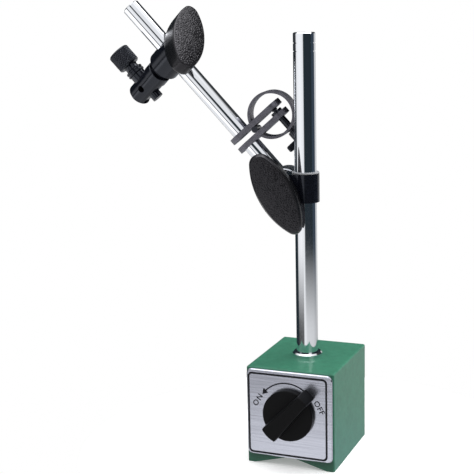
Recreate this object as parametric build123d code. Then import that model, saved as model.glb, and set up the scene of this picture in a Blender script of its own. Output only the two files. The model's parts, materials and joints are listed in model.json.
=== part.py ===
from build123d import *
from math import cos, radians, sin, sqrt, tan
import os

# Magnetic indicator stand: a switchable magnet block, a chromed column, a friction clamp that
# carries an arm with a fine adjustment, and a second clamp with the indicator holder.
# Millimetres, +Z up. The origin is the middle of the underside, and the switch faces -Y.

# ---------------------------------------------------------------- driving dimensions
BASE_WIDTH, BASE_DEPTH, BASE_HEIGHT = 50.0, 60.0, 55.0
BASE_EDGE = 1.0                 # rounding of the painted outer edges
SPACER_WIDTH = 3.0              # non-magnetic strip between the two pole halves
VEE_HALF_WIDTH, VEE_ANGLE = 20.8, 150.0
SWITCH_HEIGHT = 30.4            # height of the rotor axis above the underside
BORE_DIAMETER = 31.0

COLUMN_DIAMETER, COLUMN_LENGTH = 12.0, 176.0
COLLAR_DIAMETER, COLLAR_HEIGHT = 16.6, 2.3
STUD_DIAMETER, STUD_LENGTH = 8.0, 7.0

ROD_DIAMETER = 10.0
CLAMP_HEIGHT = 149.5            # height of the lower clamp bolt above the underside
CLAMP_AZIMUTH = 9.5             # the clamp bolt points this far to the right of -Y
BOLT_OFFSET = 13.9              # clamp bolt to column axis
ARM_PLANE = 17.5                # arm axis behind the column axis, along the clamp bolt
ARM_ANGLE = 48.6                # arm above the horizontal
UPPER_CLAMP_REACH = 96.2        # lower clamp bolt to upper clamp bolt, along the arm
ARM_REACH = 133.0               # lower clamp bolt to the free end of the arm
HOLDER_TILT = 25.2              # upper clamp bolt leans this far out of the arm's plane
LOWER_LEVER_TURN, UPPER_LEVER_TURN = 257.2, 34.6   # each lever's tip, from square to the arm

RUNNING = 0.05                  # radial clearance of a running fit
COLUMN_LINER, ROD_LINER = 0.5, 0.5   # walls of the split plastic liners on the chrome


# ---------------------------------------------------------------- frames
def frame(origin, across, out):
    """A location whose X runs along `across` and whose Z runs along `out`."""
    return Plane(origin=origin, x_dir=across, z_dir=out).location


def blend_of(first, second, angle):
    """The unit vector `angle` degrees from `first` towards `second`, which are perpendicular."""
    return first * cos(radians(angle)) + second * sin(radians(angle))


UP = Vector(0, 0, 1)
BOLT = blend_of(Vector(0, -1, 0), Vector(1, 0, 0), CLAMP_AZIMUTH)   # lower bolt, towards the lever
SIDE = UP.cross(BOLT)                                                # level, to the right
ARM = blend_of(-SIDE, UP, ARM_ANGLE)                                 # along the arm, upwards
ACROSS = ARM.cross(BOLT)                                             # square to the arm, up and right
HOLDER_BOLT = blend_of(ACROSS, BOLT, HOLDER_TILT)                    # upper bolt, towards the lever

CLAMP_CENTRE = UP * CLAMP_HEIGHT
BOLT_CENTRE = CLAMP_CENTRE - SIDE * BOLT_OFFSET
ARM_CENTRE = BOLT_CENTRE - BOLT * ARM_PLANE
HOLDER_CENTRE = ARM_CENTRE + ARM * UPPER_CLAMP_REACH

SWITCH = frame((0, -BASE_DEPTH / 2, SWITCH_HEIGHT), (1, 0, 0), (0, -1, 0))
COLUMN_CLAMP = frame(CLAMP_CENTRE, SIDE, BOLT)
LOWER_CLAMP = frame(ARM_CENTRE, ACROSS, BOLT)
UPPER_CLAMP = frame(HOLDER_CENTRE, ARM.cross(HOLDER_BOLT), HOLDER_BOLT)


# ---------------------------------------------------------------- small builders
def rod(radius, low, high):
    """A cylinder along Z between two heights."""
    return Pos(0, 0, (low + high) / 2) * Cylinder(radius, high - low)


def rod_y(radius, low, high):
    """A cylinder along Y between two places."""
    return Pos(0, (low + high) / 2, 0) * Rot(90, 0, 0) * Cylinder(radius, high - low)


def rod_x(radius, low, high):
    """A cylinder along X between two places."""
    return Pos((low + high) / 2, 0, 0) * Rot(0, 90, 0) * Cylinder(radius, high - low)


def block(low, high):
    """A box between two corners."""
    size = [b - a for a, b in zip(low, high)]
    return Pos(*[(a + b) / 2 for a, b in zip(low, high)]) * Box(*size)


def turned(points):
    """A solid turned about Z from (radius, height) corners."""
    profile = make_face(Polyline([(r, 0, z) for r, z in points], close=True))
    return revolve(profile, Axis.Z)


def turned_y(points):
    """A solid turned about Y from (radius, place along Y) corners."""
    profile = make_face(Polyline([(r, y, 0) for r, y in points], close=True))
    return revolve(profile, Axis.Y)


parts = {}


def add(name, shape, place=Location()):
    """Keeps a piece under its name, moved from its own frame to the stand."""
    solids = [solid.moved(place) for solid in shape.solids()]
    parts[name] = solids[0] if len(solids) == 1 else Compound(children=solids)


# ---------------------------------------------------------------- magnet block
VEE_DEPTH = VEE_HALF_WIDTH * tan(radians(90 - VEE_ANGLE / 2))
BORE_RADIUS = BORE_DIAMETER / 2
COVER_RADIUS, COVER_THICKNESS = 19.6, 2.0
REAR = BASE_DEPTH / 2


def magnet_block():
    """Two iron poles either side of a non-magnetic strip, bored for the rotor."""
    body = block((-BASE_WIDTH / 2, -REAR, 0), (BASE_WIDTH / 2, REAR, BASE_HEIGHT))
    soft_edges = body.edges().filter_by(Axis.Z) + body.edges().group_by(Axis.Z)[-1]
    body = fillet(soft_edges, BASE_EDGE)
    vee = make_face(Polyline([(-VEE_HALF_WIDTH, 0, 0), (VEE_HALF_WIDTH, 0, 0), (0, 0, VEE_DEPTH)],
                             close=True))
    body -= Pos(0, REAR + 1, 0) * extrude(vee, BASE_DEPTH + 2, dir=(0, -1, 0))
    bore = Pos(0, 0, SWITCH_HEIGHT) * rod_y(BORE_RADIUS, -REAR - 1, REAR + 1)
    cover_seat = Pos(0, 0, SWITCH_HEIGHT) * rod_y(COVER_RADIUS, REAR - COVER_THICKNESS, REAR + 1)
    column_hole = rod(STUD_DIAMETER / 2, BASE_HEIGHT - STUD_LENGTH, BASE_HEIGHT + 1)
    body = body - bore - cover_seat - column_hole - cover_screw_group(tapped=True)

    half = SPACER_WIDTH / 2
    tall = BASE_HEIGHT + 1
    add("base_pole_left", body & block((-BASE_WIDTH, -REAR - 1, -1), (-half, REAR + 1, tall)))
    add("base_pole_right", body & block((half, -REAR - 1, -1), (BASE_WIDTH, REAR + 1, tall)))
    strip = body & block((-half, -REAR - 1, -1), (half, REAR + 1, tall))
    lower, upper = strip.solids().sort_by(Axis.Z)
    add("pole_spacer_bottom", lower)
    add("pole_spacer_top", upper)


COVER_SCREW_CIRCLE = 17.4       # radius of the circle of rear cover screws, just outside the bore


def cover_screw_group(tapped=False):
    """The three countersunk screws of the rear cover, or their tapped holes."""
    group = []
    for angle in (30, 150, 270):
        x = COVER_SCREW_CIRCLE * cos(radians(angle))
        z = SWITCH_HEIGHT + COVER_SCREW_CIRCLE * sin(radians(angle))
        if tapped:
            group.append(Pos(x, 0, z) * rod_y(0.8, REAR - 7, REAR))
        else:
            head = turned_y([(0, REAR - 7), (0.8, REAR - 7), (0.8, REAR - 0.9), (1.6, REAR - 0.1),
                             (0, REAR - 0.1)])
            slot = block((-0.2, REAR - 0.5, -2), (0.2, REAR + 1, 2))
            group.append(Pos(x, 0, z) * (head - slot))
    return group


def rear_cover():
    """A plain disc that closes the bore at the back."""
    disc = rod_y(COVER_RADIUS, REAR - COVER_THICKNESS, REAR)
    add("rear_cover", Pos(0, 0, SWITCH_HEIGHT) * disc - cover_screw_group())
    add("rear_cover_screws", Compound(children=cover_screw_group()))


# ---------------------------------------------------------------- nameplate and switch
PLATE_WIDTH, PLATE_HEIGHT, PLATE_THICKNESS = 48.8, 49.0, 1.5
PLATE_BOTTOM, PLATE_CORNER, PLATE_BEVEL = 5.3, 3.0, 0.5
SHAFT_RADIUS, REAR_SHAFT_RADIUS = 5.0, 4.0
SQUARE = 6.6                    # drive square between rotor and knob
ROTOR_RADIUS = 15.1
MAGNET_THICKNESS = 11.0
FRONT_BUSH, REAR_BUSH = 6.0, 5.0
CAP = 4.0
SHOE_LENGTH = 34.0
KNOB_RADIUS, KNOB_DISC, KNOB_HEIGHT = 14.2, 3.0, 11.2
KNOB_GAP = 0.2
BAR_WIDE, BAR_NARROW = 5.2, 3.5   # half widths of the grip at its two ends
BAR_BACK, BAR_TIP = -13.4, 17.6   # reach of the grip each side of the axis
POINTER_ANGLE = 47.5            # the pointer's direction at OFF, from +X
SWITCH_TRAVEL = 90.0
STOP_CIRCLE, STOP_RADIUS = 11.0, 1.5


def nameplate():
    """The brushed plate round the knob."""
    centre = PLATE_BOTTOM + PLATE_HEIGHT / 2 - SWITCH_HEIGHT
    face = Pos(0, centre) * RectangleRounded(PLATE_WIDTH, PLATE_HEIGHT, PLATE_CORNER)
    plate = extrude(face, PLATE_THICKNESS)
    plate = chamfer(plate.faces().sort_by(Axis.Z)[-1].edges(), PLATE_BEVEL)
    plate -= rod(SHAFT_RADIUS + 0.5, -1, PLATE_THICKNESS + 1)
    add("nameplate", plate, SWITCH)


def rotor():
    """The turning magnet with its two iron shoes, brass end caps and bushes. Z is to the front."""
    front, rear = -FRONT_BUSH - 0.3, -FRONT_BUSH - 0.3 - 2 * CAP - SHOE_LENGTH
    slab_half = MAGNET_THICKNESS / 2
    core = rod(ROTOR_RADIUS, rear + CAP, front - CAP)
    slab = Box(4 * ROTOR_RADIUS, MAGNET_THICKNESS, 4 * SHOE_LENGTH)
    add("rotor_magnet", core & slab, SWITCH)
    add("rotor_pole_shoes", core - slab, SWITCH)

    stop_path = stop_groove(front)
    front_cap = rod(ROTOR_RADIUS, front - CAP, front) + rod(SHAFT_RADIUS, front, PLATE_THICKNESS)
    front_cap += Rot(0, 0, POINTER_ANGLE) * Pos(0, 0, PLATE_THICKNESS + 3) * Box(SQUARE, SQUARE, 6)
    add("rotor_front_cap", front_cap - stop_path, SWITCH)
    rear_cap = rod(ROTOR_RADIUS, rear, rear + CAP) + rod(REAR_SHAFT_RADIUS, rear - REAR_BUSH, rear)
    add("rotor_rear_cap", rear_cap, SWITCH)

    front_bush = rod(BORE_RADIUS, -FRONT_BUSH, 0) - rod(SHAFT_RADIUS + RUNNING, -FRONT_BUSH - 1, 1)
    pin = Pos(0, STOP_CIRCLE, 0) * rod(STOP_RADIUS, front - 2, 0)
    add("rotor_bush_front", front_bush - pin, SWITCH)
    add("stop_pin", pin, SWITCH)
    rear_seat = rear - 0.3
    rear_bush = rod(BORE_RADIUS, rear_seat - REAR_BUSH, rear_seat)
    rear_bush -= rod(REAR_SHAFT_RADIUS + RUNNING, rear_seat - REAR_BUSH - 1, rear_seat + 1)
    add("rotor_bush_rear", rear_bush, SWITCH)


def stop_groove(front):
    """The arc groove in the front cap that the stop pin runs in, one switch travel long."""
    width = STOP_RADIUS + 0.3
    ring = rod(STOP_CIRCLE + width, front - 2.5, front + 1) - rod(STOP_CIRCLE - width, front - 3, front + 2)
    sector = Plane.XY.offset(front - 3) * make_face(
        Polyline([(0, 0), (0, 3 * ROTOR_RADIUS), (3 * ROTOR_RADIUS, 3 * ROTOR_RADIUS),
                  (3 * ROTOR_RADIUS, 0)], close=True))
    arc = ring & extrude(sector, 5)
    ends = [(0, STOP_CIRCLE), (STOP_CIRCLE, 0)]
    for x, y in ends:
        arc += Pos(x, y, 0) * rod(width, front - 2.5, front + 1)
    return arc


def switch_knob():
    """The disc with its tapered grip. It is drawn at OFF, with Z to the front."""
    low = PLATE_THICKNESS + KNOB_GAP
    disc = fillet(rod(KNOB_RADIUS, low, low + KNOB_DISC).edges().sort_by(Axis.Z)[-1], 0.6)
    outline = make_face(Polyline([(2 * BAR_BACK, -BAR_WIDE), (BAR_BACK, -BAR_WIDE), (BAR_TIP, -BAR_NARROW),
                                  (BAR_TIP, BAR_NARROW), (BAR_BACK, BAR_WIDE), (2 * BAR_BACK, BAR_WIDE)],
                                 close=True))
    outline = outline & Pos((BAR_TIP + BAR_BACK) / 2, 0) * Circle((BAR_TIP - BAR_BACK) / 2)
    grip = extrude(Pos(0, 0, low) * outline, KNOB_HEIGHT, taper=2.0)
    grip = fillet(grip.edges().filter_by(lambda e: abs(e.tangent_at(0.5).Z) > 0.9), 1.0)
    grip = fillet(grip.edges().group_by(Axis.Z)[-1], 0.8)
    turn = Rot(0, 0, POINTER_ANGLE)
    knob = turn * (disc + grip)
    drive = turn * Pos(0, 0, low) * Box(SQUARE + 0.1, SQUARE + 0.1, 13)
    screw = turn * Pos(0, 0, low + 4.2) * rod_x(1.25, BAR_BACK + 2.6, -SQUARE / 2 - 0.05)
    hole = turn * Pos(0, 0, low + 4.2) * rod_x(1.25, BAR_BACK - 2, -SQUARE / 2)
    add("switch_knob", knob - drive - hole, SWITCH)
    socket = turn * Pos(BAR_BACK + 3, 0, low + 4.2) * Rot(0, 90, 0) * extrude(RegularPolygon(0.7, 6), 2, both=True)
    add("knob_set_screw", screw - socket, SWITCH)


# ---------------------------------------------------------------- column
COLUMN_FOOT = BASE_HEIGHT + COLLAR_HEIGHT
COLUMN_TOP = COLUMN_FOOT + COLUMN_LENGTH
RING_GROOVES = (5.6, 10.0)      # below the column's top


def column():
    """The chromed column, screwed into the block through a collar."""
    radius = COLUMN_DIAMETER / 2
    post = chamfer(rod(radius, COLUMN_FOOT, COLUMN_TOP).edges().sort_by(Axis.Z)[-1], 0.6)
    for depth in RING_GROOVES:
        ring = rod(radius + 1, COLUMN_TOP - depth - 0.3, COLUMN_TOP - depth + 0.3)
        post -= ring - rod(radius - 0.35, COLUMN_TOP - depth - 1, COLUMN_TOP - depth + 1)
    post += rod(STUD_DIAMETER / 2, BASE_HEIGHT - STUD_LENGTH, COLUMN_FOOT)
    add("column", post)
    collar = turned([(STUD_DIAMETER / 2, BASE_HEIGHT), (COLLAR_DIAMETER / 2, BASE_HEIGHT),
                     (COLLAR_DIAMETER / 2, COLUMN_FOOT - 0.8), (COLLAR_DIAMETER / 2 - 0.8, COLUMN_FOOT),
                     (STUD_DIAMETER / 2, COLUMN_FOOT)])
    add("column_foot_collar", collar)


# ---------------------------------------------------------------- clamps
CLAMP_SIZE = 15.6               # height of the column clamp
CLAMP_RISE = 0.5                # its ring sits this much above the bolt
CLAMP_RING_RADIUS = 7.6
CLAMP_SLOT = 1.6
LUG_HALF, BOSS_HALF, BOSS_RADIUS = 7.0, 10.0, 7.5
BARREL_RADIUS, BARREL_BORE = 9.2, 7.6
BARREL_FRONT, BARREL_REAR = 7.0, {"lower": -10.2, "upper": -11.4}
EYE_RADIUS, EYE_FRONT, EYE_REAR = 7.5, 6.8, {"lower": -11.5, "upper": -12.7}
SHANK_RADIUS, SHANK_GRIP = 3.0, 6.5
WASHER = 0.5
LEVER_GAP = 0.1
LINER_RADIUS = ROD_DIAMETER / 2 + RUNNING + ROD_LINER
LINER_HALF = 5.0                # half length of the rod liners, short enough to turn in the sleeve


def column_clamp():
    """The split clamp round the column. X is level, Y is up, Z points along the bolt."""
    half = CLAMP_SIZE / 2
    top, bottom = CLAMP_RISE + half, CLAMP_RISE - half
    liner_radius = COLUMN_DIAMETER / 2 + RUNNING + COLUMN_LINER
    ring = rod_y(CLAMP_RING_RADIUS, bottom, top)
    lug = block((-BOLT_OFFSET, bottom, -LUG_HALF), (0, top, LUG_HALF))
    nose = Pos(-BOLT_OFFSET, CLAMP_RISE, 0) * rod(half, -LUG_HALF, LUG_HALF)
    boss = Pos(-BOLT_OFFSET, 0, 0) * rod(BOSS_RADIUS, -BOSS_HALF, BOSS_HALF)
    body = ring + lug + nose + boss
    body -= rod_y(liner_radius + RUNNING, bottom - 1, top + 1)
    body -= Pos(-BOLT_OFFSET, 0, 0) * rod(SHANK_RADIUS + RUNNING, -BOSS_HALF - 1, BOSS_HALF + 1)
    body -= block((-3 * BOLT_OFFSET, bottom - 1, -CLAMP_SLOT / 2), (0, top + 1, CLAMP_SLOT / 2))
    add("column_clamp", body, COLUMN_CLAMP)

    flange = 0.8
    bush = rod_y(liner_radius, bottom, top + flange)
    bush += rod_y(liner_radius + 0.9, top + 0.1, top + flange)
    bush -= rod_y(COLUMN_DIAMETER / 2 + RUNNING, bottom - 1, top + 2)
    bush -= block((-3 * liner_radius, bottom - 1, -0.5), (0, top + 2, 0.5))
    add("column_liner", bush, COLUMN_CLAMP)


def rod_clamp(side, place, lever_seat):
    """A sleeve with a draw stud inside it, which hold the rod along Y. Z points to the lever."""
    rear = BARREL_REAR[side]
    sleeve = turned([(BARREL_BORE, rear), (8.2, rear), (BARREL_RADIUS, rear + 1.2),
                     (BARREL_RADIUS, BARREL_FRONT - 0.6), (BARREL_RADIUS - 0.6, BARREL_FRONT),
                     (BARREL_BORE, BARREL_FRONT)])
    window = rod_y(ROD_DIAMETER / 2 + 0.3, -2 * BARREL_RADIUS, 2 * BARREL_RADIUS)
    add(side + "_clamp_sleeve", sleeve - window, place)

    eye = rod(EYE_RADIUS, EYE_REAR[side], EYE_FRONT)
    stud = chamfer(eye.edges().group_by(Axis.Z)[0], 0.6)
    stud += rod(SHANK_RADIUS, EYE_FRONT, lever_seat + SHANK_GRIP)
    if side == "upper":
        stud += holder_journal()
    add(side + "_draw_stud", stud - rod_y(LINER_RADIUS + RUNNING, -20, 20), place)

    liner = rod_y(LINER_RADIUS, -LINER_HALF, LINER_HALF)
    liner -= rod_y(ROD_DIAMETER / 2 + RUNNING, -LINER_HALF - 1, LINER_HALF + 1)
    liner -= block((0, -LINER_HALF - 1, -0.5), (20, LINER_HALF + 1, 0.5))
    add(side + "_rod_liner", liner, place)


# ---------------------------------------------------------------- clamp levers
LEVER_END_RADII = (5.9, 4.4)    # blunt end and tip
LEVER_END_CENTRES = (-18.2, 19.5)
LEVER_FLANK = 43.5
LEVER_HUB_SHIFT = 1.4           # the hub is this far from the middle, towards the blunt end
LEVER_HUB_RADIUS = 6.6
LEVER_HEIGHT = {"lower": 9.8, "upper": 11.6}   # seat to the top of the face
LEVER_DOME = 150.0              # radius of the domed face
LEVER_KEEL = -2.0               # lowest point of the back, which rises to both tips
LEVER_BACK = {"lower": 50.0, "upper": 90.0}    # radius of the back along its length
LEVER_RECESS = 9.5              # radius of the hollow in the back that turns round the boss or sleeve
INSERT_RADIUS, INSERT_LENGTH = 4.5, 7.0


def egg(inset=0.0):
    """The lever's outline, tip to +X: two end arcs and two long flank arcs that touch them."""
    (blunt, tip), (x_blunt, x_tip) = LEVER_END_RADII, LEVER_END_CENTRES
    flank = LEVER_FLANK
    to_blunt, to_tip = flank - blunt, flank - tip
    x_flank = (to_blunt ** 2 - to_tip ** 2 + x_tip ** 2 - x_blunt ** 2) / (2 * (x_tip - x_blunt))
    y_flank = -sqrt(to_blunt ** 2 - (x_flank - x_blunt) ** 2)

    def touch(x_end, radius):
        reach = flank - inset
        far = flank - radius
        return (x_flank + (x_end - x_flank) * reach / far, y_flank + (0 - y_flank) * reach / far)

    left, right = touch(x_blunt, blunt), touch(x_tip, tip)
    top = (x_flank, y_flank + flank - inset)
    mirrored = [(x, -y) for x, y in (left, top, right)]
    edges = [ThreePointArc(left, top, right),
             ThreePointArc(right, (x_tip + tip - inset, 0), mirrored[2]),
             ThreePointArc(mirrored[2], mirrored[1], mirrored[0]),
             ThreePointArc(mirrored[0], (x_blunt - blunt + inset, 0), left)]
    return Pos(LEVER_HUB_SHIFT, 0) * make_face(edges)


def lever(side, place, seat, turn):
    """The egg-shaped plastic lever with its brass insert. Z points out of its face."""
    height = LEVER_HEIGHT[side]
    hub = rod(LEVER_HUB_RADIUS, 0, height / 2)
    bilge = LEVER_KEEL + 1.8
    hull = loft([Pos(0, 0, LEVER_KEEL) * egg(1.3), Pos(0, 0, bilge) * egg()])
    hull += extrude(Pos(0, 0, bilge) * egg(), height)
    dome = Pos(LEVER_HUB_SHIFT, 0, height - LEVER_DOME) * Sphere(LEVER_DOME)
    radius = LEVER_BACK[side]
    back = Pos(LEVER_HUB_SHIFT, 0, LEVER_KEEL + radius) * rod_y(radius, -40, 40)
    body = hub + ((hull & dome & back) - rod(LEVER_RECESS, LEVER_KEEL - 1, 0))
    bore = rod(INSERT_RADIUS, -1, INSERT_LENGTH)
    at = place * Pos(0, 0, seat) * Rot(0, 0, turn)
    add(side + "_lever", body - bore, at)
    insert = rod(INSERT_RADIUS, 0, INSERT_LENGTH) - rod(SHANK_RADIUS + RUNNING, -1, INSERT_LENGTH - 0.4)
    add(side + "_lever_insert", insert, at)


# ---------------------------------------------------------------- arm and fine adjustment
# In the arm's frame X is square to the arm, Y runs up the arm and Z points along the clamp bolt.
PLATE = 3.2
LOWER_PLATE, UPPER_PLATE = 29.1, 35.5     # near faces of the two rocker plates
PLATE_START, PLATE_END, PLATE_HALF = -8.0, 28.6, 6.0
SPIGOT_RADIUS = 3.0
PIVOT_X, PIVOT_RADIUS = 7.9, 1.8
PIVOT_Y = (LOWER_PLATE + PLATE + UPPER_PLATE) / 2
LOWER_ROD_END = -12.0
SPRING_X, SPRING_OUTER, SPRING_WALL, SPRING_HALF = 20.2, 13.4, 1.5, 5.0
SCREW_X, SCREW_RADIUS = 22.7, 2.0
FINE_DISC_LOW, FINE_DISC_HIGH, FINE_DISC_RADIUS = 11.1, 14.7, 9.0
FINE_HUB_TOP, FINE_HUB_RADIUS = 19.7, 3.2
PAD_RADIUS = 1.2


def rocker_plate(near_face):
    """One of the two parallel plates, with rounded ends."""
    length = PLATE_END - PLATE_START
    outline = SlotOverall(length, 2 * PLATE_HALF)
    upright = Plane(origin=((PLATE_START + PLATE_END) / 2, near_face, 0), x_dir=(1, 0, 0), z_dir=(0, 1, 0))
    plate = extrude(upright * outline, PLATE)
    return plate - rod_y(SPIGOT_RADIUS, near_face - 1, near_face + PLATE + 1)


def arm():
    """Two rods in line, joined by the rocker plates."""
    radius = ROD_DIAMETER / 2
    pivot = Pos(PIVOT_X, PIVOT_Y, 0) * rod(PIVOT_RADIUS, -PLATE_HALF + 0.5, PLATE_HALF - 0.5)
    pivot_room = Pos(PIVOT_X, PIVOT_Y, 0) * rod(PIVOT_RADIUS + RUNNING, -20, 20)
    screw_hole = Pos(SCREW_X, 0, 0) * rod_y(SCREW_RADIUS + RUNNING, 0, LOWER_PLATE + PLATE + 1)

    lower_rod = rod_y(radius, LOWER_ROD_END, LOWER_PLATE)
    lower_rod = chamfer(lower_rod.edges().sort_by(Axis.Y)[0], 0.6)
    lower_rod += rod_y(SPIGOT_RADIUS, LOWER_PLATE, LOWER_PLATE + PLATE)
    add("lower_rod", lower_rod, LOWER_CLAMP)
    add("lower_plate", rocker_plate(LOWER_PLATE) - pivot - screw_hole, LOWER_CLAMP)
    add("pivot_roller", pivot, LOWER_CLAMP)

    upper_rod = chamfer(rod_y(radius, UPPER_PLATE + PLATE, ARM_REACH).edges().sort_by(Axis.Y)[-1], 0.6)
    upper_rod += rod_y(SPIGOT_RADIUS, UPPER_PLATE, UPPER_PLATE + PLATE)
    add("upper_rod", upper_rod, LOWER_CLAMP)
    add("upper_plate", rocker_plate(UPPER_PLATE) - pivot_room, LOWER_CLAMP)

    inner = SPRING_OUTER - SPRING_WALL
    hoop = rod(SPRING_OUTER, -SPRING_HALF, SPRING_HALF) - rod(inner, -20, 20)
    low, high = LOWER_PLATE - PIVOT_Y, UPPER_PLATE + PLATE + 0.15 - PIVOT_Y
    mouth = block((-20, low, -20), (0, high, 20))
    place = Pos(SPRING_X, PIVOT_Y, 0)
    clear_hole = Pos(SCREW_X, 0, 0) * rod_y(SCREW_RADIUS + 0.5, 0, LOWER_PLATE)
    add("ring_spring", place * (hoop - mouth) - clear_hole, LOWER_CLAMP)


def fine_screw():
    """The adjusting screw with its knurled disc, the nut in the plate and the thrust pin."""
    at = LOWER_CLAMP * Pos(SCREW_X, 0, 0)
    screw_top = LOWER_PLATE + PLATE + 1.2
    nut_top = LOWER_PLATE + PLATE + 1.7
    screw = rod_y(SCREW_RADIUS, FINE_DISC_LOW + 1, screw_top)
    screw -= rod_y(PAD_RADIUS + RUNNING, screw_top - 5.5, screw_top + 1)
    add("fine_screw", screw, at)
    disc = chamfer(rod_y(FINE_DISC_RADIUS, FINE_DISC_LOW, FINE_DISC_HIGH).edges(), 0.5)
    disc += rod_y(FINE_HUB_RADIUS, FINE_DISC_HIGH, FINE_HUB_TOP)
    add("fine_knob", disc - rod_y(SCREW_RADIUS, FINE_DISC_LOW + 1, 40), at)
    nut = rod_y(3.4, LOWER_PLATE + PLATE, nut_top) - rod_y(SCREW_RADIUS + RUNNING, 0, 50)
    add("fine_nut", nut, at)
    pad_top = UPPER_PLATE - 0.12
    head = chamfer(rod_y(1.8, pad_top - 0.8, pad_top).edges().sort_by(Axis.Y)[-1], 0.5)
    pad = rod_y(PAD_RADIUS, screw_top - 4.2, pad_top - 0.8) + head
    add("thrust_pin", pad, at)


# ---------------------------------------------------------------- indicator holder
# In the upper clamp's frame X points away from the front, Y runs up the arm, Z points to the lever.
COLLAR_FRONT, COLLAR_REAR, HOLDER_COLLAR_RADIUS = -14.8, -20.4, 7.2
HEAD_END, HEAD_RADIUS = -39.6, 6.7
JOURNAL_RADIUS, JOURNAL_END = 4.0, -23.4
JAW_Z, JAW_RADIUS = -29.4, 3.3
STEM_HOLE_RADIUS = 2.0
GRUB_Z = -17.7                  # the grub screw that keeps the head on its journal
SIDE_BOSS_RADIUS, SIDE_BOSS_END = 4.6, 8.9
NUT_FLANGE = (9.1, 12.2, 5.3)
NUT_NECK = (12.2, 15.3, 4.0)
NUT_HEAD = (15.3, 26.0, 6.6)


def holder_journal():
    """The rear end of the upper draw stud, grooved for the holder's grub screw."""
    groove = rod(JOURNAL_RADIUS + 1, GRUB_Z - 1.2, GRUB_Z + 1.2) - rod(JOURNAL_RADIUS - 0.8, GRUB_Z - 2, GRUB_Z + 2)
    return rod(JOURNAL_RADIUS, JOURNAL_END, EYE_REAR["upper"]) - groove


def holder():
    """The swivelling head that takes the indicator, with its drawn jaw and knurled nut."""
    head = turned([(0, HEAD_END), (HEAD_RADIUS - 1.2, HEAD_END), (HEAD_RADIUS, HEAD_END + 1.2),
                   (HEAD_RADIUS, COLLAR_REAR), (HOLDER_COLLAR_RADIUS, COLLAR_REAR),
                   (HOLDER_COLLAR_RADIUS, COLLAR_FRONT - 0.3),
                   (HOLDER_COLLAR_RADIUS - 0.3, COLLAR_FRONT), (0, COLLAR_FRONT)])
    head += Pos(0, 0, JAW_Z) * rod_y(SIDE_BOSS_RADIUS, 0, SIDE_BOSS_END)
    head -= Pos(0, 0, JAW_Z) * block((-7, -9, -9), (7, -HEAD_RADIUS + 1.0, 4))
    head -= rod(JOURNAL_RADIUS + RUNNING, JOURNAL_END - 0.3, 0)
    head -= Pos(0, 0, JAW_Z) * rod_y(JAW_RADIUS + RUNNING, -20, 20)
    head -= Pos(0, 0, JAW_Z) * rod_x(STEM_HOLE_RADIUS, -20, 20)
    grub = Pos(0, 0, GRUB_Z)
    head -= grub * rod_x(1.0, 0, 20)
    add("holder_head", head, UPPER_CLAMP)
    screw = rod_x(1.0, JOURNAL_RADIUS - 0.6, 6.8) - rod_x(0.5, 5.6, 8)
    add("holder_grub_screw", grub * screw, UPPER_CLAMP)
    washer = rod(5.6, COLLAR_FRONT + 0.05, EYE_REAR["upper"] - 0.05) - rod(JOURNAL_RADIUS + RUNNING, -20, 0)
    add("holder_washer", washer, UPPER_CLAMP)

    jaw_place = UPPER_CLAMP * Pos(0, 0, JAW_Z)
    jaw = rod_y(JAW_RADIUS, -9.6, SIDE_BOSS_END - 1.2) + rod_y(2.0, SIDE_BOSS_END - 1.2, 21.5)
    jaw -= rod_x(STEM_HOLE_RADIUS, -20, 20)
    notch = make_face(Polyline([(0, -7.9, -5), (0, -5.4, -5), (0, -5.4, -1.4), (0, -6.7, -1.4)], close=True))
    jaw -= extrude(notch, 10, dir=(1, 0, 0), both=True)
    add("jaw_pin", jaw, jaw_place)

    nut = rod_y(NUT_FLANGE[2], NUT_FLANGE[0], NUT_FLANGE[1])
    middle = (NUT_FLANGE[0] + NUT_FLANGE[1]) / 2
    nut -= rod_y(NUT_FLANGE[2] + 1, middle - 0.3, middle + 0.3) - rod_y(NUT_FLANGE[2] - 0.6, 0, 20)
    nut += rod_y(NUT_NECK[2], NUT_NECK[0], NUT_NECK[1])
    nut += chamfer(rod_y(NUT_HEAD[2], NUT_HEAD[0], NUT_HEAD[1]).edges(), 0.7)
    add("jaw_nut", nut - rod_y(2.0 + RUNNING, 0, 22.6), jaw_place)


# ---------------------------------------------------------------- assembly
magnet_block()
rear_cover()
nameplate()
rotor()
switch_knob()
column()
column_clamp()
rod_clamp("lower", LOWER_CLAMP, ARM_PLANE + BOSS_HALF + LEVER_GAP)
rod_clamp("upper", UPPER_CLAMP, BARREL_FRONT + LEVER_GAP)
lever("lower", LOWER_CLAMP, ARM_PLANE + BOSS_HALF + LEVER_GAP, LOWER_LEVER_TURN)
lever("upper", UPPER_CLAMP, BARREL_FRONT + LEVER_GAP, UPPER_LEVER_TURN)
gap_low, gap_high = BARREL_FRONT + 0.05, ARM_PLANE - BOSS_HALF - 0.05
add("clamp_washer", rod(6.5, gap_low, gap_high) - rod(SHANK_RADIUS + RUNNING, 0, 20), LOWER_CLAMP)
arm()
fine_screw()
holder()

os.makedirs("parts", exist_ok=True)
for name, shape in parts.items():
    export_step(shape, os.path.join("parts", name + ".step"))
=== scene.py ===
"""Finish, lettering, light and camera for the magnetic indicator stand. Metres, in the CAD frame."""

import json
import math

import bmesh
import bpy
from mathutils import Matrix, Vector, noise


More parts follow.
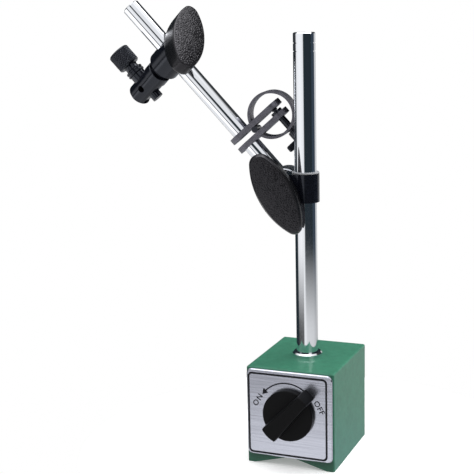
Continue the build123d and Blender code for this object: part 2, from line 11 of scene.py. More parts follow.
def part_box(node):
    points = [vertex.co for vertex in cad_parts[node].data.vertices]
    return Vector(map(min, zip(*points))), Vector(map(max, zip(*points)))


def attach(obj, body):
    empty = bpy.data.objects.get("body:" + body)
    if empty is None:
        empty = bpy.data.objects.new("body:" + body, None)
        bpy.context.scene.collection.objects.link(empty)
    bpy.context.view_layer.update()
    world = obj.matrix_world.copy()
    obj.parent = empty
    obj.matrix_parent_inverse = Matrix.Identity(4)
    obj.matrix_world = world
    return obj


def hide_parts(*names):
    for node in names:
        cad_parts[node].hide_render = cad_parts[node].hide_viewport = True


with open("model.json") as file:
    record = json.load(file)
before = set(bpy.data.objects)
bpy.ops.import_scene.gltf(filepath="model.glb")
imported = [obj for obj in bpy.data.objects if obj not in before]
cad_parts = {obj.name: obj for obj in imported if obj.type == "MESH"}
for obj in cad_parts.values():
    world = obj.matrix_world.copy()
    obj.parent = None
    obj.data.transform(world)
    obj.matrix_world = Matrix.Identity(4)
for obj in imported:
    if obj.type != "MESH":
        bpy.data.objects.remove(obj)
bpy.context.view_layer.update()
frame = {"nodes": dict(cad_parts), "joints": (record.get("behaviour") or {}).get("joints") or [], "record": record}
nodes = frame["nodes"]
joints = {joint["name"]: joint for joint in frame["joints"]}
MM = 0.001


# ---------------------------------------------------------------- camera
CAMERA_AZIMUTH, CAMERA_ELEVATION, CAMERA_ROLL = 22.69, 11.28, -1.32     # degrees
CAMERA_PLACE = Vector((0.1967, -0.5691, 0.2431))
CAMERA_LENS, CAMERA_SENSOR = 84.59, 36      # millimetres


def add_camera():
    """The view of the photo: slightly from the right and from above, and rolled a little."""
    azimuth, elevation = math.radians(CAMERA_AZIMUTH), math.radians(CAMERA_ELEVATION)
    roll = math.radians(CAMERA_ROLL)
    back = Vector((math.sin(azimuth) * math.cos(elevation),
                   -math.cos(azimuth) * math.cos(elevation), math.sin(elevation)))
    level = Vector((math.cos(azimuth), math.sin(azimuth), 0))
    upright = back.cross(level)
    across = level * math.cos(roll) + upright * math.sin(roll)
    up = upright * math.cos(roll) - level * math.sin(roll)
    data = bpy.data.cameras.new("camera")
    data.lens = CAMERA_LENS
    data.sensor_width = CAMERA_SENSOR
    data.clip_start = 0.05
    camera = bpy.data.objects.new("camera", data)
    turn = Matrix((across, up, back)).transposed().to_4x4()
    camera.matrix_world = Matrix.Translation(CAMERA_PLACE) @ turn
    bpy.context.scene.collection.objects.link(camera)
    bpy.context.scene.camera = camera


# ---------------------------------------------------------------- node trees
class Wiring:
    """A node tree, with short ways to add nodes, links and ramps to it."""

    def __init__(self, tree):
        self.tree = tree

    def node(self, kind, **settings):
        made = self.tree.nodes.new(kind)
        for name, value in settings.items():
            setattr(made, name, value)
        return made

    def link(self, source, target):
        self.tree.links.new(source, target)

    def ramp(self, factor, stops):
        """Colours or grey levels against a factor: stops are (position, value)."""
        made = self.node("ShaderNodeValToRGB")
        band = made.color_ramp
        while len(band.elements) < len(stops):
            band.elements.new(0.5)
        for element, (position, value) in zip(band.elements, stops):
            element.position = position
            element.color = (*value, 1) if isinstance(value, tuple) else (value, value, value, 1)
        self.link(factor, made.inputs["Fac"])
        return made.outputs["Color"]


class Shader(Wiring):
    """A principled material under construction."""

    def __init__(self, name, color, roughness, metallic=0.0, **extra):
        self.material = bpy.data.materials.new(name)
        self.material.use_nodes = True
        super().__init__(self.material.node_tree)
        self.surface = self.tree.nodes["Principled BSDF"]
        values = {"Base Color": (*color, 1), "Roughness": roughness, "Metallic": metallic, **extra}
        for socket, value in values.items():
            self.surface.inputs[socket].default_value = value
        self.place = self.node("ShaderNodeTexCoord").outputs["Object"]

    def stretched(self, scale):
        """Object coordinates multiplied per axis."""
        mapping = self.node("ShaderNodeMapping")
        mapping.inputs["Scale"].default_value = scale
        self.link(self.place, mapping.inputs["Vector"])
        return mapping.outputs["Vector"]

    def noise(self, scale, detail, roughness=0.5, stretch=None):
        """A noise value from 0 to 1 at that many cells a metre."""
        made = self.node("ShaderNodeTexNoise")
        made.inputs["Scale"].default_value = scale
        made.inputs["Detail"].default_value = detail
        made.inputs["Roughness"].default_value = roughness
        self.link(self.stretched(stretch) if stretch else self.place, made.inputs["Vector"])
        return made.outputs["Fac"]

    def color_from(self, factor, stops):
        self.link(self.ramp(factor, stops), self.surface.inputs["Base Color"])

    def roughness_from(self, factor, low, high):
        """Roughness runs from low to high as the factor runs from 0 to 1."""
        made = self.node("ShaderNodeMapRange")
        made.inputs["To Min"].default_value = low
        made.inputs["To Max"].default_value = high
        self.link(factor, made.inputs["Value"])
        self.link(made.outputs["Result"], self.surface.inputs["Roughness"])

    def bump(self, height, strength, distance, under=None):
        """Relief in the surface, on top of another bump's normal where one is given."""
        made = self.node("ShaderNodeBump")
        made.inputs["Strength"].default_value = strength
        made.inputs["Distance"].default_value = distance
        self.link(height, made.inputs["Height"])
        if under is not None:
            self.link(under, made.inputs["Normal"])
        self.link(made.outputs["Normal"], self.surface.inputs["Normal"])
        return made.outputs["Normal"]


def shades(color, spread):
    """Three stops from a darker to a lighter shade of a colour, for a quiet variation."""
    dark = tuple(c * (1 - spread) for c in color)
    light = tuple(min(1.0, c * (1 + spread)) for c in color)
    return [(0.3, dark), (0.5, color), (0.7, light)]


# ---------------------------------------------------------------- finishes
def green_enamel():
    green = (0.044, 0.195, 0.122)
    shader = Shader("green_enamel", green, 0.45, **{
        "Specular IOR Level": 0.12, "Coat Weight": 0.45, "Coat Roughness": 0.08, "Coat IOR": 1.40})
    shader.color_from(shader.noise(260, 6, 0.6), shades(green, 0.12))
    shader.roughness_from(shader.noise(900, 3), 0.38, 0.55)
    peel = shader.bump(shader.noise(650, 2), 0.12, 0.00006)
    shader.bump(shader.noise(5200, 2), 0.06, 0.00002, peel)
    return shader.material


def chrome():
    shader = Shader("hard_chrome", (0.80, 0.82, 0.86), 0.05, 1.0)
    shader.roughness_from(shader.noise(500, 4), 0.04, 0.09)
    shader.bump(shader.noise(900, 3, stretch=(1, 1, 6)), 0.03, 0.00001)
    return shader.material


def brushed_plate():
    lilac = (0.50, 0.515, 0.59)
    shader = Shader("brushed_aluminium", lilac, 0.30, 1.0)
    grain = shader.noise(900, 5, 0.65, stretch=(0.03, 1, 1.6))
    shader.color_from(grain, shades(lilac, 0.12))
    shader.roughness_from(grain, 0.14, 0.28)
    shader.bump(grain, 0.25, 0.00002)
    return shader.material


def switch_plastic():
    black = (0.0045, 0.0047, 0.0055)
    shader = Shader("satin_black_plastic", black, 0.42, **{"Specular IOR Level": 0.10})
    shader.roughness_from(shader.noise(1500, 4), 0.34, 0.50)
    shader.bump(shader.noise(2600, 4), 0.18, 0.00004)
    return shader.material


def lever_plastic():
    black = (0.0048, 0.0048, 0.0056)
    shader = Shader("grained_black_plastic", black, 0.28, **{
        "Specular IOR Level": 0.4, "Specular Tint": (0.92, 0.90, 1, 1)})
    shader.color_from(shader.noise(900, 3), shades(black, 0.3))
    shader.roughness_from(shader.noise(1400, 3), 0.20, 0.36)
    shader.bump(shader.noise(2400, 3), 0.25, 0.00005)
    return shader.material


def black_oxide():
    black = (0.0045, 0.0050, 0.0085)
    shader = Shader("black_oxide_steel", black, 0.16, **{
        "Specular IOR Level": 0.48, "Specular Tint": (0.80, 0.86, 1.0, 1)})
    shader.color_from(shader.noise(350, 5, 0.6), shades(black, 0.4))
    shader.roughness_from(shader.noise(1200, 4), 0.11, 0.22)
    shader.bump(shader.noise(2500, 3), 0.10, 0.00003)
    return shader.material


def grey_steel():
    grey = (0.135, 0.134, 0.158)
    shader = Shader("phosphated_spring_steel", grey, 0.40, 0.8)
    shader.color_from(shader.noise(420, 5, 0.6), shades(grey, 0.25))
    shader.roughness_from(shader.noise(1500, 4), 0.28, 0.50)
    shader.bump(shader.noise(2200, 3), 0.14, 0.00003)
    return shader.material


def satin_steel():
    shader = Shader("satin_steel", (0.36, 0.37, 0.40), 0.32, 1.0)
    shader.roughness_from(shader.noise(1300, 4), 0.24, 0.42)
    shader.bump(shader.noise(1600, 3), 0.08, 0.00002)
    return shader.material


def liner_plastic():
    pale = (0.42, 0.43, 0.45)
    shader = Shader("pale_bush_plastic", pale, 0.38)
    shader.color_from(shader.noise(500, 3), shades(pale, 0.08))
    shader.bump(shader.noise(1800, 2), 0.08, 0.00002)
    return shader.material


def brass():
    shader = Shader("turned_brass", (0.66, 0.47, 0.20), 0.26, 1.0)
    shader.roughness_from(shader.noise(900, 3), 0.20, 0.36)
    shader.bump(shader.noise(1200, 3), 0.06, 0.00002)
    return shader.material


def magnet_iron():
    grey = (0.09, 0.09, 0.095)
    shader = Shader("sintered_magnet", grey, 0.55, 0.6)
    shader.color_from(shader.noise(800, 5), shades(grey, 0.3))
    shader.bump(shader.noise(1500, 4), 0.2, 0.00005)
    return shader.material


def black_ink():
    shader = Shader("black_print", (0.006, 0.007, 0.012), 0.36, **{"Specular IOR Level": 0.2})
    shader.roughness_from(shader.noise(1600, 3), 0.30, 0.46)
    shader.bump(shader.noise(3000, 2), 0.05, 0.00001)
    return shader.material


FINISHES = {
    "green_paint": green_enamel, "brushed_plate": brushed_plate, "chrome": chrome,
    "switch_plastic": switch_plastic, "lever_plastic": lever_plastic, "black_steel": black_oxide,
    "satin_steel": satin_steel, "grey_steel": grey_steel, "liner": liner_plastic, "brass": brass,
    "magnet": magnet_iron,
}
finish_of = {slot: make() for slot, make in FINISHES.items()}
SMOOTH_UNDER = math.radians(28)


def smooth(thing):
    """Smooth shading, with the edges left crisp where the faces turn sharply."""
    thing.data.shade_smooth()
    thing.data.set_sharp_from_angle(angle=SMOOTH_UNDER)


def dress_cad_nodes():
    """Every CAD node takes the finish of its slot, with smooth round faces and crisp edges."""
    for part in frame["record"]["subparts"]:
        node = nodes[part["node"]]
        node.data.materials.clear()
        node.data.materials.append(finish_of[part["material_slot"]])
        smooth(node)


# ---------------------------------------------------------------- mesh helpers
def piece(name, body, material, mesh, place):
    """A finished mesh is put in its place and becomes a piece that rides on a CAD body."""
    mesh.transform(place)
    mesh.materials.append(material)
    made = bpy.data.objects.new(name, mesh)
    bpy.context.scene.collection.objects.link(made)
    smooth(made)
    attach(made, body)
    return made


def grid_mesh(name, rings):
    """A skin over rings of points, each ring closed on itself. Single-point rings are poles."""
    work = bmesh.new()
    rows = [[work.verts.new(point) for point in ring] for ring in rings]
    for near, far in zip(rows, rows[1:]):
        count = max(len(near), len(far))
        for i in range(count):
            j = (i + 1) % count
            corners = [near[i % len(near)], near[j % len(near)], far[j % len(far)], far[i % len(far)]]
            unique = list(dict.fromkeys(corners))
            if len(unique) > 2:
                work.faces.new(unique)
    bmesh.ops.recalc_face_normals(work, faces=work.faces)
    mesh = bpy.data.meshes.new(name)
    work.to_mesh(mesh)
    work.free()
    return mesh


def axes(origin, across, out):
    """A matrix at origin whose Z runs along out and whose X runs along across, squared to it."""
    out = Vector(out).normalized()
    across = Vector(across)
    across = (across - out * across.dot(out)).normalized()
    turn = Matrix((across, out.cross(across), out)).transposed().to_4x4()
    return Matrix.Translation(Vector(origin)) @ turn


# ---------------------------------------------------------------- floor and light
FLOOR_RADIUS, FLOOR_SIDES = 0.13, 96
FLOOR_WHITE = (0.93, 0.93, 0.93)


def add_floor():
    """A round pale table top. Reflections and soft light come from the studio's own bands instead."""
    turns = [math.tau * i / FLOOR_SIDES for i in range(FLOOR_SIDES)]
    rim = [(FLOOR_RADIUS * math.cos(turn), FLOOR_RADIUS * math.sin(turn), 0) for turn in turns]
    mesh = bpy.data.meshes.new("floor")
    mesh.from_pydata(rim, [], [list(range(FLOOR_SIDES))])
    floor = bpy.data.objects.new("floor", mesh)
    bpy.context.scene.collection.objects.link(floor)
    shader = Shader("pale_floor", FLOOR_WHITE, 0.8, **{"Specular IOR Level": 0.2, "Emission Strength": 0.28})
    shader.color_from(shader.noise(3, 2), shades(FLOOR_WHITE, 0.005))
    mesh.materials.append(shader.material)
    floor.visible_glossy = False
    floor.visible_diffuse = False


# Bands of light and dark cards round the stand, as stops of (angle, brightness). Angles are in degrees
# from the camera's side, negative to its left. Each layer takes over between two elevations in degrees.
DARK = (0.020, 0.030, 0.036)
NIGHT = (0.022, 0.030, 0.038)
SLATE = (0.042, 0.060, 0.082)
GROUND_BAND = [(-180, 0.80), (-120, 0.93), (60, 0.93), (110, 0.60), (180, 0.60)]
TABLE_BAND = [(-180, 0.80), (-120, 1.0), (-100, 1.60), (-30, 1.60), (60, 0.95),
              (100, (0.60, 0.70, 0.84)), (180, (0.52, 0.58, 0.66))]
LOW_BAND = [(-180, DARK), (-100, DARK), (-92, 0.08), (-36, 0.12), (-30, 0.95), (-13, 0.95), (0, 0.80),
            (70, 0.75), (110, 0.58), (160, 0.58), (180, 0.40)]
LEVEL_BAND = [(-180, DARK), (-104, DARK), (-94, 1.0), (-55, 1.1), (-20, 0.95), (-13, DARK), (8, DARK),
              (16, NIGHT), (44, NIGHT), (52, DARK), (66, DARK), (76, SLATE), (112, SLATE), (120, 0.7),
              (156, 0.7), (164, DARK), (180, DARK)]
SKIRT_BAND = [(-180, DARK), (8, DARK), (14, 0.95), (40, 0.95), (48, DARK), (180, DARK)]
HIGH_BAND = [(-180, DARK), (-135, DARK), (-115, 0.95), (58, 0.95), (72, 0.25), (96, 0.06), (180, DARK)]
CROWN_BAND = [(-180, 1.2), (60, 1.2), (90, 0.9), (130, 0.9), (160, 1.2), (180, 1.2)]
MIRROR_LAYERS = [(-35, -31, TABLE_BAND), (-22, -19.5, LOW_BAND), (-16, -12, LEVEL_BAND),
                 (11, 14, SKIRT_BAND), (20, 24, HIGH_BAND), (44, 49, CROWN_BAND)]
# Matt surfaces get little light from below or from the front, and most from the right and above.
UNDER_GLOW = [(-180, 0.04), (180, 0.04)]
SIDE_GLOW = [(-180, 0.60), (-110, 0.15), (20, 0.15), (50, 2.40), (170, 2.40), (180, 0.60)]
MATT_LAYERS = [(-10, 5, SIDE_GLOW), (40, 50, CROWN_BAND)]
CEILING_RISE, CEILING = (70, 78), 1.25


class Studio(Wiring):
    """The world's light, laid out by the angle round the stand and the elevation of a direction."""

    def __init__(self, tree):
        super().__init__(tree)
        azimuth = math.radians(CAMERA_AZIMUTH)
        direction = self.node("ShaderNodeTexCoord").outputs["Generated"]
        toward = self.dot(direction, (math.sin(azimuth), -math.cos(azimuth), 0))
        right = self.dot(direction, (math.cos(azimuth), math.sin(azimuth), 0))
        turn = self.node("ShaderNodeMath", operation="ARCTAN2")
        self.link(right, turn.inputs[0])
        self.link(toward, turn.inputs[1])
        self.round = self.halved(turn.outputs["Value"], 1 / math.tau)
        self.rise = self.halved(self.dot(direction, (0, 0, 1)), 0.5)

    def dot(self, source, vector):
        made = self.node("ShaderNodeVectorMath", operation="DOT_PRODUCT")
        self.link(source, made.inputs[0])
        made.inputs[1].default_value = vector
        return made.outputs["Value"]

    def halved(self, source, factor):
        """A value times a factor, plus a half."""
        made = self.node("ShaderNodeMath", operation="MULTIPLY_ADD")
        self.link(source, made.inputs[0])
        made.inputs[1].default_value = factor
        made.inputs[2].default_value = 0.5
        return made.outputs["Value"]

    def mix(self, factor, first, second):
        """From the first colour to the second, which may also be a grey level."""
        made = self.node("ShaderNodeMix", data_type="RGBA")
        self.link(factor, made.inputs["Factor"])
        self.link(first, made.inputs["A"])
        if isinstance(second, float):
            made.inputs["B"].default_value = (second, second, second, 1)
        else:
            self.link(second, made.inputs["B"])
        return made.outputs["Result"]

    def band(self, stops):
        return self.ramp(self.round, [((angle + 180) / 360, value) for angle, value in stops])

    def climbing(self, low, high):
        """From 0 to 1 between two elevations."""
        places = [0.5 + 0.5 * math.sin(math.radians(angle)) for angle in (low, high)]
        return self.ramp(self.rise, [(places[0], 0.0), (places[1], 1.0)])

    def stacked(self, lowest, layers):
        """Bands stacked from the lowest up, under one even ceiling."""
        light = self.band(lowest)
        for low, high, stops in layers:
            light = self.mix(self.climbing(low, high), light, self.band(stops))
        return self.mix(self.climbing(*CEILING_RISE), light, CEILING)


def add_studio():
    """One set of bands for reflections, a softer one for matt surfaces, and plain white for the camera."""
    world = bpy.data.worlds.new("studio")
    bpy.context.scene.world = world
    world.use_nodes = True
    studio = Studio(world.node_tree)
    ray = studio.node("ShaderNodeLightPath")
    mirrored = studio.stacked(GROUND_BAND, MIRROR_LAYERS)
    matt = studio.stacked(UNDER_GLOW, MATT_LAYERS)
    light = studio.mix(ray.outputs["Is Diffuse Ray"], mirrored, matt)
    light = studio.mix(ray.outputs["Is Camera Ray"], light, 1.0)
    studio.link(light, studio.tree.nodes["Background"].inputs["Color"])


STAND_MIDDLE, ARM_MIDDLE = (-0.03, 0, 0.12), (-0.08, 0, 0.22)
SOFT_BOXES = [      # name, place, what it points at, size, power
    ("ceiling_box", (-0.2, -0.1, 1.3), STAND_MIDDLE, (1.2, 1.2), 6.0),
    ("left_box", (-1.1, -0.7, 0.8), STAND_MIDDLE, (0.6, 1.0), 0.5),
    ("right_box", (0.29, 0.37, 1.28), ARM_MIDDLE, (0.40, 0.60), 3.6),
]


def add_lights():
    for name, place, target, size, power in SOFT_BOXES:
        data = bpy.data.lights.new(name, "AREA")
        data.shape = "RECTANGLE"
        data.size, data.size_y = size
        data.energy = power
        box = bpy.data.objects.new(name, data)
        box.location = place
        box.rotation_euler = (Vector(target) - Vector(place)).to_track_quat("-Z", "Y").to_euler()
        bpy.context.scene.collection.objects.link(box)


# ---------------------------------------------------------------- places on the stand
def joint_place(name):
    """A point on the joint's axis, at rest."""
    return Vector(joints[name]["pos_m"])


BOLT = Vector(joints["arm_swing"]["axis"]).normalized()
HOLDER_BOLT = Vector(joints["holder_turn"]["axis"]).normalized()
ARM = Vector(joints["arm_slide"]["axis"]).normalized()
PLATE_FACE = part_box("nameplate")[0].y


# ---------------------------------------------------------------- clamp levers
# Millimetres and degrees, from the lever's hub on its bolt. The tip points along X.
LEVER_BLUNT, LEVER_TIP = (-18.2, 5.9), (19.5, 4.4)      # centre and radius of the two end arcs
LEVER_FLANK = 43.5              # radius of the long sides
LEVER_MIDDLE = 1.4              # middle of the outline, from the hub
LEVER_DOME, LEVER_CROSS = 150.0, 40.0       # radius of the face, and of its extra curve across
LEVER_KEEL = -2.0               # lowest point of the back
LEVER_RECESS = 9.5              # radius of the hollow in the back
LEVER_BORE, LEVER_BORE_TOP = 0.34, 6.5      # share of the hollow's radius, and depth
GRAIN_DEPTH, GRAIN_CELLS = 0.16, 0.85       # height of the grain, and its cells a millimetre
GRAIN_BED, GRAIN_FADE = 0.17, 14            # how deep the grain lies, and how fast it fades at the rim
RIM_STEPS = ((0.90, 0.04), (0.46, 0.42), (0.06, 0.85), (0, 1))      # shares of the slope's width and depth
SIDE_LEAST, SIDE_PULL = 0.4, 1.5            # least height of the side, and most that its foot is drawn in
LEVERS = {      # seat along the bolt, turn of the tip, height, radius of the back, slope round the face
    "lower": {"seat": 27.6, "turn": 257.2, "height": 9.8, "back": 50.0, "shoulder": (1.5, 2.0), "seed": 3.0},
    "upper": {"seat": 7.1, "turn": 34.6, "height": 11.6, "back": 90.0, "shoulder": (0.5, 0.7), "seed": 11.0},
}
FACE_ROWS, SIDE_ROWS, BACK_ROWS, ROUND = 66, 8, 18, 420


def egg_outline(count):
    """Points round the lever's outline from its tip, in millimetres, with the hub at the origin."""
    (x_blunt, blunt), (x_tip, tip) = LEVER_BLUNT, LEVER_TIP
    to_blunt, to_tip = LEVER_FLANK - blunt, LEVER_FLANK - tip
    x_flank = (to_blunt ** 2 - to_tip ** 2 + x_tip ** 2 - x_blunt ** 2) / (2 * (x_tip - x_blunt))
    y_flank = -math.sqrt(to_blunt ** 2 - (x_flank - x_blunt) ** 2)
    at_tip = math.atan2(-y_flank, x_tip - x_flank)
    at_blunt = math.atan2(-y_flank, x_blunt - x_flank)
    arcs = [(x_tip, 0, tip, 0, at_tip), (x_flank, y_flank, LEVER_FLANK, at_tip, at_blunt),
            (x_blunt, 0, blunt, at_blunt, math.pi)]
    lengths = [radius * (end - start) for _, _, radius, start, end in arcs]
    half = []
    steps = count // 2
    for i in range(steps + 1):
        along = sum(lengths) * i / steps
        for arc, length in zip(arcs, lengths):
            if along <= length or arc == arcs[-1]:
                x, y, radius, start, _ = arc
                angle = start + min(along, length) / radius
                half.append((x + radius * math.cos(angle), y + radius * math.sin(angle)))
                break
            along -= length
    whole = half + [(x, -y) for x, y in half[-2:0:-1]]
    return [(x + LEVER_MIDDLE, y) for x, y in whole]


def pebble(x, y, seed):
    """Height of the moulded grain, from about -1 to 1: raised cells with sunken lines between them."""
    near = noise.voronoi(Vector((x, y, seed)) * GRAIN_CELLS, distance_metric="DISTANCE")[0]
    cell = min(1.0, (near[1] - near[0]) * 1.8)
    return 1.6 * cell - 0.9 + 0.35 * noise.noise(Vector((x, y, seed)) * 2.4)


def lever_mesh(name, size):
    """The whole lever, hub at the origin: grained face, sloped rim, boat-shaped back, hollow and bore."""
    outline = egg_outline(ROUND)
    wide, deep = size["shoulder"]
    radius = size["back"]

    def reach(x, y):
        return math.hypot(x - LEVER_MIDDLE, y)

    def toward(i, share, inset=0.0):
        """A share of the way from the middle to a point of the outline, or to its inset."""
        x, y = outline[i]
        share *= 1 - inset / reach(x, y)
        return LEVER_MIDDLE + (x - LEVER_MIDDLE) * share, y * share

    def dome(x, y):
        along = LEVER_DOME - math.sqrt(LEVER_DOME ** 2 - (x - LEVER_MIDDLE) ** 2 - y * y)
        return size["height"] - along - y * y / (2 * LEVER_CROSS)

    def back(x):
        return LEVER_KEEL + radius - math.sqrt(radius ** 2 - (x - LEVER_MIDDLE) ** 2)

    def face_point(i, share):
        x, y = toward(i, share, wide)
        grain = GRAIN_DEPTH * pebble(x, y, size["seed"]) * min(1.0, (1 - share) * GRAIN_FADE)
        return Vector((x, y, dome(x, y) - GRAIN_BED + grain))

    def rim_point(i, inset, drop):
        x, y = toward(i, 1, inset)
        return Vector((x, y, dome(x, y) - drop))

    def side_point(i, share):
        """Upright under the rim, and drawn in towards the keel like a hull."""
        x, y = outline[i]
        top = dome(x, y) - deep
        depth = max(SIDE_LEAST, top - back(x))
        angle = share * math.pi / 2
        pull = min(SIDE_PULL, depth / 4)
        x, y = toward(i, 1 - pull * (1 - math.cos(angle)) ** 3 / reach(x, y))
        return Vector((x, y, top - depth * (0.35 * share + 0.65 * math.sin(angle))))

    def back_point(edge, share):
        """From the lower edge of the side in to the edge of the hollow."""
        flat = Vector((edge.x, edge.y, 0))
        hollow = flat.normalized() * LEVER_RECESS if flat.length > LEVER_RECESS else flat * 0.99
        place = flat.lerp(hollow, share)
        z = max(back(place.x), LEVER_KEEL) + (edge.z - back(edge.x)) * (1 - share)
        return Vector((place.x, place.y, z))

    rings = [[Vector((LEVER_MIDDLE, 0, dome(LEVER_MIDDLE, 0)))]]
    for row in range(1, FACE_ROWS + 1):
        share = (row / FACE_ROWS) ** 0.8
        rings.append([face_point(i, share) for i in range(ROUND)])
    for inset, drop in RIM_STEPS:
        rings.append([rim_point(i, inset * wide, drop * deep) for i in range(ROUND)])
    for row in range(1, SIDE_ROWS + 1):
        rings.append([side_point(i, row / SIDE_ROWS) for i in range(ROUND)])
    edge = rings[-1]
    for row in range(1, BACK_ROWS + 1):
        rings.append([back_point(point, row / BACK_ROWS) for point in edge])
    rings.append([Vector((p.x, p.y, max(0.0, p.z))) for p in rings[-1]])
    rings.append([Vector((p.x * LEVER_BORE, p.y * LEVER_BORE, 0.0)) for p in rings[-1]])
    rings.append([Vector((p.x, p.y, LEVER_BORE_TOP)) for p in rings[-1]])
    rings.append([Vector((0, 0, LEVER_BORE_TOP))])
    return grid_mesh(name, [[point * MM for point in ring] for ring in rings])


def add_lever(side, axis, centre):
    """A lever on its bolt, turned to where it was clamped."""
    size = LEVERS[side]
    name = side + "_lever_body"
    spin = Matrix.Rotation(math.radians(size["turn"]), 4, "Z")
    place = axes(centre + axis * size["seat"] * MM, ARM.cross(axis), axis) @ spin
    mesh = lever_mesh(name, size)
    made = piece(name, side + "_lever", finish_of["lever_plastic"], mesh, place)
    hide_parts(side + "_lever")


# ---------------------------------------------------------------- knurled knobs
FINE_TEETH, JAW_STARTS = 72, 30     # ridges round each knob
JAW_LEAD = 1.05                     # height in which two crossing ridges part by one


def knurled(name, profile, count, surface):
    """A turned skin from (radius, height, knurl depth) rows, in millimetres about Z."""
    rings = []
    for radius, height, depth in profile:
        if radius == 0:
            rings.append([Vector((0, 0, height)) * MM])
            continue
        ring = []
        for i in range(count):
            angle = math.tau * i / count
            r = radius - depth * surface(angle, height)
            ring.append(Vector((r * math.cos(angle), r * math.sin(angle), height)) * MM)
        rings.append(ring)
    return grid_mesh(name, rings)


def ridge(turns):
    """A rounded ridge wave: 0 on a ridge, 1 in the groove between two."""
    share = abs((turns % 1.0) * 2 - 1)
    return share ** 1.5


def straight_teeth(angle, _height):
    return ridge(angle / math.tau * FINE_TEETH)


def crossed_teeth(angle, height):
    lead = height / JAW_LEAD
    turns = angle / math.tau * JAW_STARTS
    return max(ridge(turns + lead / 2), ridge(turns - lead / 2))


def knurl_rows(radius, low, high, depth, count):
    return [(radius, low + (high - low) * i / count, depth) for i in range(count + 1)]


def plain(*corners):
    """Profile rows without a knurl, from (radius, height) corners."""
    return [(radius, height, 0) for radius, height in corners]


def add_fine_knob():
    """A flat knob with a stepped back, straight teeth round the rim and a stub on its face."""
    profile = plain((0, 12.1), (2.0, 12.1), (2.0, 11.1), (5.2, 11.1), (5.4, 11.3), (7.0, 11.3), (7.2, 11.1),
                    (8.4, 11.1))
    profile += [(8.9, 11.5, 0.3), *knurl_rows(9.0, 11.7, 14.1, 0.42, 6), (8.9, 14.3, 0.3)]
    profile += plain((8.4, 14.7), (3.6, 14.7), (3.3, 14.8), (3.2, 15.1), (3.2, 19.3), (2.9, 19.7), (0, 19.7))
    place = axes(joint_place("fine_turn"), BOLT, ARM)
    mesh = knurled("fine_knob_body", profile, 432, straight_teeth)
    made = piece("fine_knob_body", "fine_screw", finish_of["black_steel"], mesh, place)
    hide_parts("fine_knob")


def add_jaw_nut():
    """A collar with two ribs, a waist, and a long head with a diamond knurl."""
    profile = plain((0, 22.6), (2.05, 22.6), (2.05, 9.1), (5.0, 9.1), (5.3, 9.4), (5.3, 10.2), (4.7, 10.35),
                    (4.7, 10.95), (5.3, 11.1), (5.3, 11.9), (5.0, 12.2), (4.3, 12.2), (4.0, 12.5),
                    (3.85, 13.7), (4.0, 15.0), (4.3, 15.3), (5.9, 15.3))
    profile += [(6.5, 15.9, 0.1), *knurl_rows(6.6, 16.05, 25.2, 0.44, 54), (6.5, 25.35, 0.1)]
    profile += plain((5.9, 26.0), (3.2, 26.0), (3.0, 25.85), (0, 25.85))
    place = axes(joint_place("jaw_nut_turn"), HOLDER_BOLT, ARM)
    mesh = knurled("jaw_nut_body", profile, 408, crossed_teeth)
    made = piece("jaw_nut_body", "jaw_nut", finish_of["black_steel"], mesh, place)
    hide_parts("jaw_nut")


# ---------------------------------------------------------------- print on the nameplate
# Millimetres in (x, z) of the stand's frame.
INK = 0.05          # millimetres the print stands proud of the plate
INK_ROOT = -0.02    # and how far it reaches into the plate
FRAME_LOW, FRAME_HIGH, FRAME_WIDTH = (-23.2, 6.75), (21.2, 51.95), 1.1
FRAME_OUTER, FRAME_INNER = 2.6, 1.7     # corner radii
ARROW_CENTRE, ARROW_RADIUS, ARROW_WIDTH = (-1.2, 31.3), 16.6, 0.75
ARROW_START, ARROW_NECK, ARROW_TIP = 52.0, 137.5, 147.0     # degrees round its centre
ARROW_BARB, ARROW_NOTCH = 1.6, 1.5      # half the head's width, and degrees that its barbs reach back
SHAFT_STEPS, HEAD_STEPS = 60, 8
CAPITAL_HEIGHT = 0.72       # of a capital letter, as a share of the font's size
LETTER_HEIGHT, LETTER_SWELL = 3.1, 0.07     # the swell thickens the strokes
WORDS = [                   # name, text, centre, tilt in degrees, letter spacing
    ("word_on", "ON", (-17.9, 36.8), 58.5, 1.25),
    ("word_off", "OFF", (17.1, 36.2), -59.5, 1.1),
]
ink = black_ink()


def print_piece(name, mesh, place=Matrix.Identity(4)):
    """A print drawn flat is stood up on the face of the nameplate."""
    lift = Matrix.Translation((0, PLATE_FACE, 0)) @ Matrix.Rotation(math.pi / 2, 4, "X")
    piece(name, "base", ink, mesh, lift @ place)


def ribbon(name, left, right, closed):
    """A flat printed stroke between two rails of (x, z) points, with a little thickness."""
    low, high = INK_ROOT * MM, INK * MM
    rings = [[Vector((x * MM, z * MM, level)) for x, z in rail]
             for rail, level in ((left, low), (left, high), (right, high), (right, low))]
    across = [list(ring) for ring in zip(*rings)]
    if closed:
        return grid_mesh(name, across + across[:1])
    first, last = ([sum(ring, Vector()) / len(ring)] for ring in (across[0], across[-1]))
    return grid_mesh(name, [first, *across, last])


def rounded_rectangle(low, high, radius, steps=10):
    """Points round a rectangle with rounded corners, from its upper right corner."""
    corners = [(high[0], high[1], 0), (low[0], high[1], 1), (low[0], low[1], 2), (high[0], low[1], 3)]
    points = []
    for x, z, quarter in corners:
        cx = x - radius if x == high[0] else x + radius
        cz = z - radius if z == high[1] else z + radius
        for i in range(steps + 1):
            angle = math.pi / 2 * (quarter + i / steps)
            points.append((cx + radius * math.cos(angle), cz + radius * math.sin(angle)))
    return points


def add_frame_line():
    """The line round the plate, a little inside its edge."""
    def rail(half, radius):
        low, high = [at - half for at in FRAME_LOW], [at + half for at in FRAME_HIGH]
        return rounded_rectangle(low, high, radius)

    outer = rail(FRAME_WIDTH / 2, FRAME_OUTER)
    inner = rail(-FRAME_WIDTH / 2, FRAME_INNER)
    print_piece("frame_line", ribbon("frame_line", outer, inner, True))


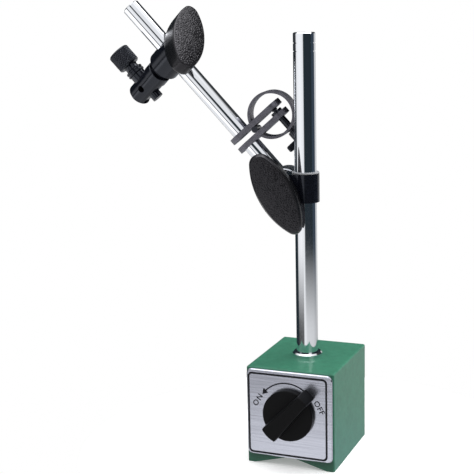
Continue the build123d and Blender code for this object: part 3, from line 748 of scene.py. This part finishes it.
def add_turn_arrow():
    """The arc over the knob with its head at ON."""
    shaft, head = ARROW_NECK - ARROW_START, ARROW_TIP - ARROW_NECK
    outline = [(ARROW_START + shaft * i / SHAFT_STEPS, ARROW_WIDTH / 2) for i in range(SHAFT_STEPS + 1)]
    outline += [(ARROW_NECK - ARROW_NOTCH, ARROW_BARB + 0.15), (ARROW_NECK + 0.01, ARROW_BARB)]
    outline += [(ARROW_NECK + head * i / HEAD_STEPS, ARROW_BARB * (1 - i / HEAD_STEPS) + 0.04)
                for i in range(1, HEAD_STEPS + 1)]

    def rail(sign):
        points = []
        for angle, half in outline:
            reach, turn = ARROW_RADIUS + sign * half, math.radians(angle)
            x, z = ARROW_CENTRE
            points.append((x + reach * math.cos(turn), z + reach * math.sin(turn)))
        return points

    print_piece("turn_arrow", ribbon("turn_arrow", rail(1), rail(-1), False))


def add_word(name, text, centre, tilt, spacing):
    """A word as a thin raised print, tilted about its centre."""
    curve = bpy.data.curves.new(name, "FONT")
    curve.body = text
    curve.size = LETTER_HEIGHT / CAPITAL_HEIGHT * MM
    curve.space_character = spacing
    curve.align_x, curve.align_y = "CENTER", "CENTER"
    curve.extrude = INK * MM
    curve.offset = LETTER_SWELL * MM
    source = bpy.data.objects.new(name + "_text", curve)
    bpy.context.scene.collection.objects.link(source)
    bpy.context.view_layer.update()
    mesh = bpy.data.meshes.new_from_object(source)
    mesh.name = name
    mesh.materials.clear()
    bpy.data.objects.remove(source)
    spin = Matrix.Rotation(math.radians(tilt), 4, "Z")
    print_piece(name, mesh, Matrix.Translation((centre[0] * MM, centre[1] * MM, 0)) @ spin)


# ---------------------------------------------------------------- making
bpy.context.scene.view_settings.view_transform = "Standard"
add_camera()
add_floor()
add_studio()
add_lights()
dress_cad_nodes()
add_lever("lower", BOLT, joint_place("arm_roll"))
add_lever("upper", HOLDER_BOLT, joint_place("upper_roll"))
add_fine_knob()
add_jaw_nut()
add_frame_line()
add_turn_arrow()
for word in WORDS:
    add_word(*word)
